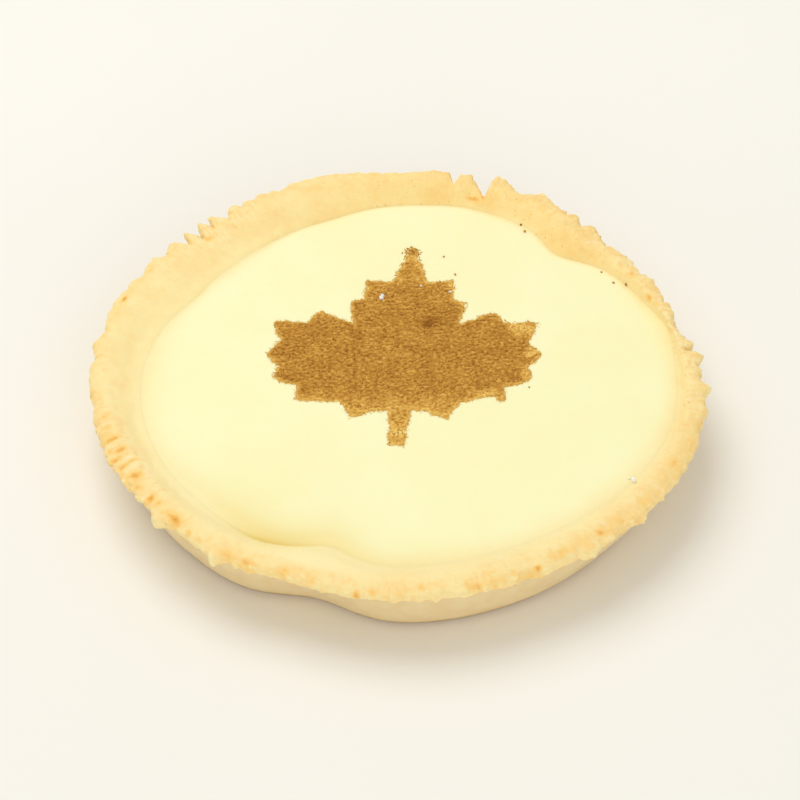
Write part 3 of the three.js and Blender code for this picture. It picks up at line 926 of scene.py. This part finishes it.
def bell(points, centre, wide, deep):
    """An oval mound: 1 at its centre, falling away across and along."""
    return np.exp(-(((points[:, 0] - centre[0]) / wide) ** 2) - ((points[:, 1] - centre[1]) / deep) ** 2)


def furrows(points):
    """Ridges drawn out across the leaf, as the powder slid when the stencil was lifted."""
    flat = points * (0.65, 1, 0)
    return 0.5 * speckle(flat, 0.45) + 0.5 * speckle(flat + 20, 0.26) + 0.12 * speckle(flat + 50, 1.3)


counts = np.ceil((leaf_high - leaf_low + GRID_MARGIN)[:2] / CELL).astype(int)
layer = bmesh.new()
bmesh.ops.create_grid(layer, x_segments=int(counts[0]), y_segments=int(counts[1]), size=0.5)
bmesh.ops.scale(layer, vec=(*(counts * CELL).tolist(), 1), verts=layer.verts)
bmesh.ops.translate(layer, vec=((leaf_low + leaf_high) / 2).tolist(), verts=layer.verts)
empty = []
for face in layer.faces:
    centre = face.calc_center_median()
    chance = 0.5 + 0.5 * noise.noise(centre / 0.8) + 0.25 * noise.noise(centre / 0.35)
    if cover(centre.x, centre.y, FILM) < 0.12 + 0.6 * chance:
        empty.append(face)
bmesh.ops.delete(layer, geom=empty, context="FACES")
bmesh.ops.smooth_vert(layer, verts=layer.verts, factor=0.4, use_axis_x=True, use_axis_y=True)
places = np.array([vertex.co for vertex in layer.verts])
inside = np.array([depth_inside(x, y) for x, y, z in places.tolist()])
ridges = (0.6 + 0.9 * furrows(places) + 0.3 * speckle(places, 4.0)) * dusting(places[:, 0], places[:, 1])
places[:, 2] = CUSTARD_LEVEL + POWDER_BED + POWDER_DEPTH * ease(inside, -0.3, 0.9) * ridges
places[:, 2] += MOUND_HEIGHT * bell(places, MOUND, 2.2, 0.9) - PIT_DEPTH * bell(places, PIT, 0.7, 0.6)
places[:, 2] = np.maximum(places[:, 2], CUSTARD_LEVEL + LEAST_POWDER)
set_places(layer, places)
made = bmesh.ops.extrude_face_region(layer, geom=layer.faces[:])
for item in made["geom"]:
    if isinstance(item, bmesh.types.BMVert):
        item.co.z = CUSTARD_LEVEL - POWDER_SINK
bmesh.ops.recalc_face_normals(layer, faces=layer.faces)
cinnamon_powder = new_piece("cinnamon_powder", layer)

# %% Paint the powder
PALEST_TONE = 1.6
powder = np.array([vertex.co for vertex in cinnamon_powder.data.vertices]) / MM
inside = np.array([depth_inside(x, y) for x, y, z in powder.tolist()])
flat_powder = powder * (1, 1, 0)
# The ridges' own noise also sets the tone, a painted light and shade: lighter on the high ridges and darker
# in the furrows, over a little random tone.
powder_tone = 0.5 + 0.6 * furrows(powder) + 0.1 * speckle(flat_powder, 3.0)
powder_tone += (0.4 + 0.5 * speckle(flat_powder, 1.1)) * (1 - ease(inside, 0.05, 0.8))
powder_tone += 0.5 * (1 - ease(inside, -0.25, 0.15)) + 0.75 * (1 - dusting(powder[:, 0], powder[:, 1]))
up_leaf = powder[:, 1] - LEAF_FOOT[1]
powder_tone += 0.1 * ease(up_leaf, 33, 39) + 0.2 * (1 - ease(up_leaf, 7, 14))
# Painted shade: the powder is darker in the pit and along the mound's shaded underside.
powder_tone -= 0.4 * bell(powder, PIT, 0.8, 0.6) + 0.2 * bell(powder, (6.0, 11.7), 2.4, 0.9)
paint(cinnamon_powder, tone=np.clip(powder_tone, 0, PALEST_TONE))
print("powder over", round(len(powder) / 2 * CELL**2), "square mm, tone", powder_tone.mean().round(2))

# %% [markdown]
# ## Grains
# Powder seen close is grains, each with its own tone. One grain is a dented ball of few faces. Many copies,
# turned and squashed by seeded chance, are joined as one mesh from arrays, because the export keeps only
# real meshes. Fine golden grains lie along the ragged edge and in the thin places, where the custard shines
# through, and a few loose ones fell beside the leaf and on the pastry.

# %% A helper that scatters one small shape
GRAIN_SQUASH, GRAIN_DENTS = (0.55, 1.25), (0.75, 1.25)


def grain_shape():
    """The vertices and triangles of a ball with few faces."""
    ball = bmesh.new()
    bmesh.ops.create_icosphere(ball, subdivisions=1, radius=0.5)
    corners = np.array([vertex.co for vertex in ball.verts])
    faces = np.array([[vertex.index for vertex in face.verts] for face in ball.faces])
    ball.free()
    return corners, faces


def random_turns(count):
    """Random rotations as matrices, from random quaternions."""
    spin = random.normal(size=(count, 4))
    w, x, y, z = (spin / np.linalg.norm(spin, axis=1, keepdims=True)).T
    rows = [
        [1 - 2 * (y * y + z * z), 2 * (x * y - z * w), 2 * (x * z + y * w)],
        [2 * (x * y + z * w), 1 - 2 * (x * x + z * z), 2 * (y * z - x * w)],
        [2 * (x * z - y * w), 2 * (y * z + x * w), 1 - 2 * (x * x + y * y)],
    ]
    return np.moveaxis(np.array(rows), 2, 0)


def scattered(name, places, sizes, **layers):
    """One mesh of many grains, each with its place and size in millimetres and its painted numbers."""
    corners, faces = grain_shape()
    count = len(places)
    squash = random.uniform(*GRAIN_SQUASH, (count, 1, 3))
    dents = random.uniform(*GRAIN_DENTS, (count, len(corners), 1))
    grains = np.einsum("gij,gcj->gci", random_turns(count), corners * squash * dents)
    points = (places[:, None, :] + grains * sizes[:, None, None]) * MM
    numbers = faces[None] + (np.arange(count) * len(corners))[:, None, None]
    mesh = bpy.data.meshes.new(name)
    mesh.from_pydata(points.reshape(-1, 3), [], numbers.reshape(-1, 3).tolist())
    piece = smooth_object(mesh)
    paint(piece, **{layer: np.repeat(values, len(corners)) for layer, values in layers.items()})
    return piece


print("triangles in one grain:", len(grain_shape()[1]))

# %% Kinds of grains, each with a range of sizes and its tone's mean and spread
LEAF_GRAINS, FRINGE_GRAINS, THIN_PLACE_GRAINS, CLUMP_GRAINS = 2600, 3200, 45, 120
LEAF_KIND = ((0.12, 0.28), (0.58, 0.3))
FRINGE_KIND = ((0.12, 0.26), (0.85, 0.12))
THIN_PLACE_KIND = ((0.14, 0.34), (0.8, 0.12))
CLUMP_KIND = ((0.2, 0.4), (0.65, 0.2))
LOOSE_KIND = ((0.4, 0.6), (0.45, 0.1))
LEAF_MARGIN, FRINGE_MARGIN, FRINGE_WIDTH, STRAY_SHARE = 0.4, 0.6, 0.4, 0.03
GRAIN_LIFT, DROP_FROM = 0.08, 30.0
TIP_CLUMP, CLUMP_SPREAD = (0, 46.1), (0.6, 0.5)
LOOSE_PLACES = [
    (7.6, 27.7), (9.5, 23.2), (2.2, 30.0), (21.2, -3.8), (16.9, -4.5), (34.3, 24.1), (38.3, 20.9),
    (36.2, 21.4), (21.0, 36.1), (21.6, 34.3),
]
seen = bpy.context.evaluated_depsgraph_get()
tops = [BVHTree.FromObject(piece, seen) for piece in (cinnamon_powder, custard_filling, pastry_crust)]


def top_at(x, y):
    """The height of the highest surface at a place."""
    start, down = Vector((x * MM, y * MM, DROP_FROM * MM)), Vector((0, 0, -1))
    hits = [tree.ray_cast(start, down)[0] for tree in tops]
    return max(hit.z for hit in hits if hit) / MM


print("the powder's top at the leaf's middle:", round(top_at(1.0, 4.0), 2), "mm")

# %% Grains on the leaf and loose ones beside it
grain_places, grain_sizes, grain_tones = [], [], []


def drop_grain(x, y, sizes, tones):
    """Lays one grain of a kind on whatever is highest there."""
    size, tone = random.uniform(*sizes), random.normal(*tones)
    grain_places.append((x, y, top_at(x, y) + GRAIN_LIFT * size))
    grain_sizes.append(size)
    grain_tones.append(tone)


while len(grain_places) < LEAF_GRAINS:
    x, y = random.uniform(leaf_low[:2] - LEAF_MARGIN, leaf_high[:2] + LEAF_MARGIN)
    if random.random() < cover(x, y):
        drop_grain(x, y, *LEAF_KIND)
while len(grain_places) < LEAF_GRAINS + FRINGE_GRAINS:
    x, y = random.uniform(leaf_low[:2] - FRINGE_MARGIN, leaf_high[:2] + FRINGE_MARGIN)
    if random.random() < STRAY_SHARE + cover(x, y) and abs(depth_inside(x, y)) < FRINGE_WIDTH:
        drop_grain(x, y, *FRINGE_KIND)
for spot_x, spot_y, size, missing in thin_spots:
    for copy in range(round(THIN_PLACE_GRAINS * size**2 * missing)):
        x, y = random.normal((spot_x, spot_y), size * 0.6)
        if depth_inside(x, y) > -0.3:
            drop_grain(x, y, *THIN_PLACE_KIND)
for copy in range(CLUMP_GRAINS):
    x, y = random.normal(on_leaf(*TIP_CLUMP), CLUMP_SPREAD)
    drop_grain(x, y, *CLUMP_KIND)
for x, y in LOOSE_PLACES:
    drop_grain(x, y, *LOOSE_KIND)
print("grains of cinnamon:", len(grain_places))
cinnamon_grains = scattered(
    "cinnamon_grains", np.array(grain_places), np.array(grain_sizes), tone=np.clip(grain_tones, 0, 1)
)

# %% Cinnamon material
DARK_SPICE, SPICE = colour(138, 84, 20), colour(204, 148, 60)
GOLDEN_SPICE, SPICE_FILM = colour(242, 200, 104), colour(250, 230, 150)
cinnamon, cinnamon_shader, wire = new_finish("ground_cinnamon")
# The tone holds the powder's own tone and the painted light and shade of its ridges.
tone = wire.painted("tone") + (wire.grain(0.3, 2.0) - 0.5) * 0.3
brown = tone.ramp(0.05, 0.75).mix(DARK_SPICE, SPICE)
brown = tone.ramp(0.5, 1.1).mix(brown, GOLDEN_SPICE)
brown = tone.ramp(1.05, PALEST_TONE).mix(brown, SPICE_FILM)
feed(
    cinnamon_shader,
    Base_Color=brown,
    Roughness=0.95,
    Normal=wire.bump(wire.grain(0.25, 3.0, 0.7), 0.08),
    Specular_IOR_Level=0.2,
)
for piece in (cinnamon_powder, cinnamon_grains):
    piece.data.materials.append(cinnamon)
    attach(piece, "root")
    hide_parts("cinnamon_leaf")
print("nodes in the cinnamon finish:", len(cinnamon.node_tree.nodes))

# %% [markdown]
# ## Sugar
# A few white crystals lie in the cinnamon and two at the custard's edge. They are the same small shape,
# larger, white and a little clear, so that they catch the light.

# %% Sugar crystals
SUGAR = [
    (-3.0, 17.2, 0.8), (-2.7, 17.8, 0.7), (3.7, 20.2, 0.5), (8.6, 18.7, 0.6), (37.0, -24.9, 1.1),
    (36.3, -24.3, 0.6),
]
SUGAR_LIFT = 0.2
sugar_sizes = np.array([size for x, y, size in SUGAR])
sugar_places = np.array([(x, y, top_at(x, y) + SUGAR_LIFT * size) for x, y, size in SUGAR])
sugar_crystals = scattered("sugar_crystals", sugar_places, sugar_sizes)
sugar, sugar_shader, wire = new_finish("white_sugar")
feed(
    sugar_shader,
    Base_Color=wire.grain(0.4).mix(colour(252, 252, 248), colour(240, 240, 236)),
    Roughness=0.35,
    **SUBSURFACE,
)
sugar_crystals.data.materials.append(sugar)
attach(sugar_crystals, "root")

# %% [markdown]
# ## Floor, light and camera
# A food photographer lights a pale tart from above and a little behind with large soft sources, so that
# the top glows and the front of the wall falls into a gentle shade. A long lens from well above keeps the
# round rim from looking stretched. The standard view transform keeps pale yellows clean.

# %% Floor
FLOOR_SIZE = 4.0
floor_shape = bmesh.new()
bmesh.ops.create_grid(floor_shape, x_segments=1, y_segments=1, size=FLOOR_SIZE / 2 / MM)
floor = new_piece("floor", floor_shape)
paper, paper_shader, wire = new_finish("pale_paper")
feed(
    paper_shader,
    Base_Color=wire.grain(60.0).mix(colour(246, 243, 234), colour(243, 240, 230)),
    Roughness=0.9,
)
floor.data.materials.append(paper)

# %% Light
ROOM_COLOUR, ROOM_STRENGTH = (1.0, 0.99, 0.97, 1.0), 0.62
world = bpy.data.worlds.new("soft_room")
bpy.context.scene.world = world
world.use_nodes = True
feed(world.node_tree.nodes["Background"], Color=ROOM_COLOUR, Strength=ROOM_STRENGTH)


def looking(place, towards):
    """The matrix of a light or a camera at a place in metres that looks in a direction."""
    return Matrix.Translation(place) @ towards.to_track_quat("-Z", "Y").to_matrix().to_4x4()


def soft_light(name, place, size, power):
    """A round lamp that looks at the tart."""
    lamp = bpy.data.lights.new(name, "AREA")
    lamp.shape, lamp.size, lamp.energy = "DISK", size, power
    light = bpy.data.objects.new(name, lamp)
    light.matrix_world = looking(place, -Vector(place))
    bpy.context.collection.objects.link(light)


soft_light("top_light", place=(-0.25, 0.35, 0.8), size=0.7, power=3.75)
soft_light("front_fill", place=(0.2, -0.9, 0.35), size=0.8, power=2.3)
print("lights:", [item.name for item in bpy.data.lights])

# %% Camera
CAMERA_RISE = np.radians(45.137)
CAMERA_DISTANCE = 502.557
AIM_FROM_AXIS = (1.081, 5.732)
LENS, SENSOR_WIDTH = 135, 36
aim = Vector((*(AXIS + AIM_FROM_AXIS), 0))
towards = Vector((0, np.cos(CAMERA_RISE), -np.sin(CAMERA_RISE)))
lens = bpy.data.cameras.new("camera")
lens.lens, lens.sensor_width = LENS, SENSOR_WIDTH
camera = bpy.data.objects.new("camera", lens)
stand = (aim - towards * CAMERA_DISTANCE) * MM
camera.matrix_world = looking(stand, towards)
bpy.context.collection.objects.link(camera)
bpy.context.scene.camera = camera
bpy.context.scene.view_settings.view_transform = "Standard"
print("the camera stands at", [round(v, 3) for v in stand], "m")
